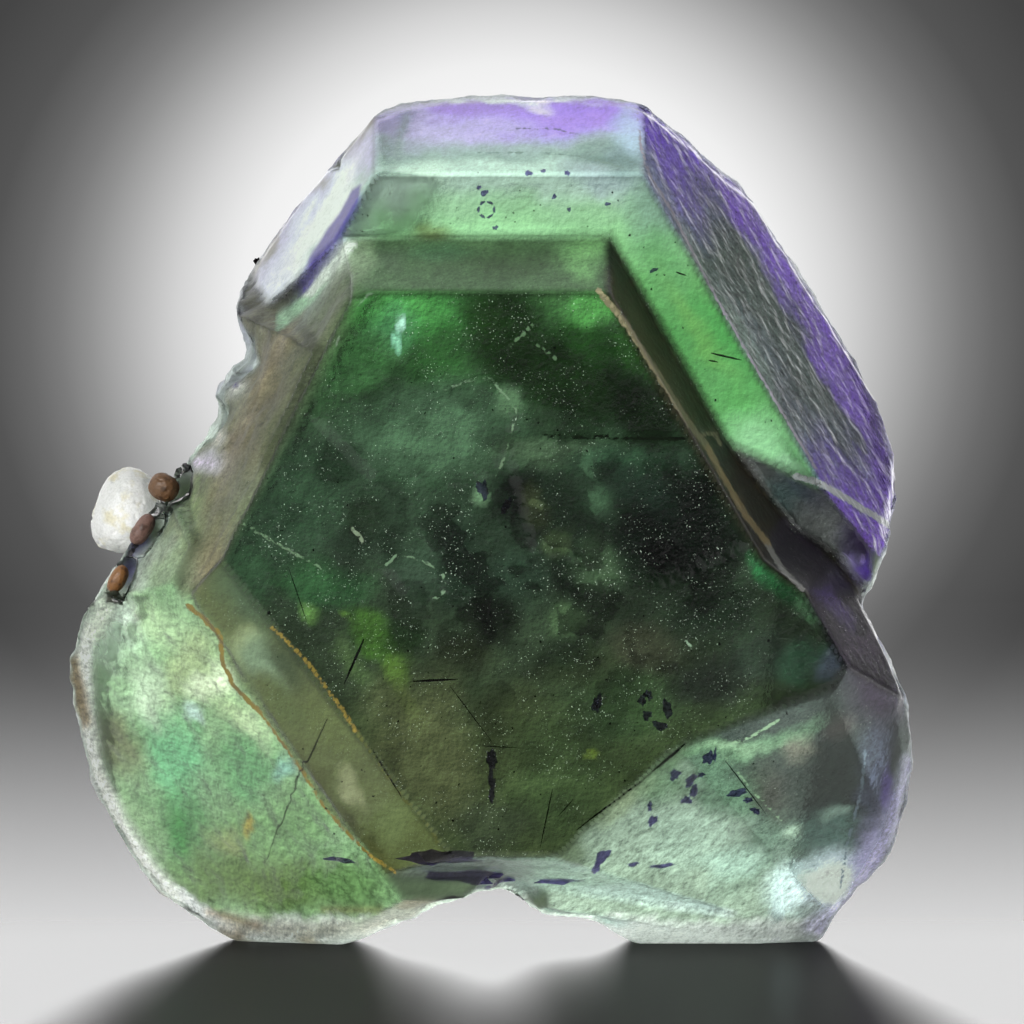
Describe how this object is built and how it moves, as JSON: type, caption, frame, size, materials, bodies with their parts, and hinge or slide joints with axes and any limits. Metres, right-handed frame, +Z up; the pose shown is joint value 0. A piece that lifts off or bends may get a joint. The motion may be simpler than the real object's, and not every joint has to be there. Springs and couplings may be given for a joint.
{
  "type": "fluorite crystal",
  "caption": "Free-standing green and purple fluorite: octahedral crystals with cube faces in parallel growth, on two flat-cut feet.",
  "frame": {"origin": "middle of the object's box in X and Y, on the plane of the two flat-cut feet", "axes": "+X to the right seen from the front face, +Y from the front octahedral face to the back, +Z up"},
  "size_m": [0.0466, 0.027, 0.0468],
  "materials": {
    "fluorite": "clear green fluorite with purple zones and etched faces",
    "milky_grain": "milky, waxy",
    "brown_grain": "iron-stained, satin",
    "rose_grain": "pinkish brown, satin",
    "orange_grain": "orange-brown, matte"
  },
  "bodies": {
    "root": {"fluorite_crystal": "fluorite", "nodule_left": "milky_grain", "grain_brown": "brown_grain", "grain_rose": "rose_grain", "grain_orange": "orange_grain"}
  },
  "joints": []
}
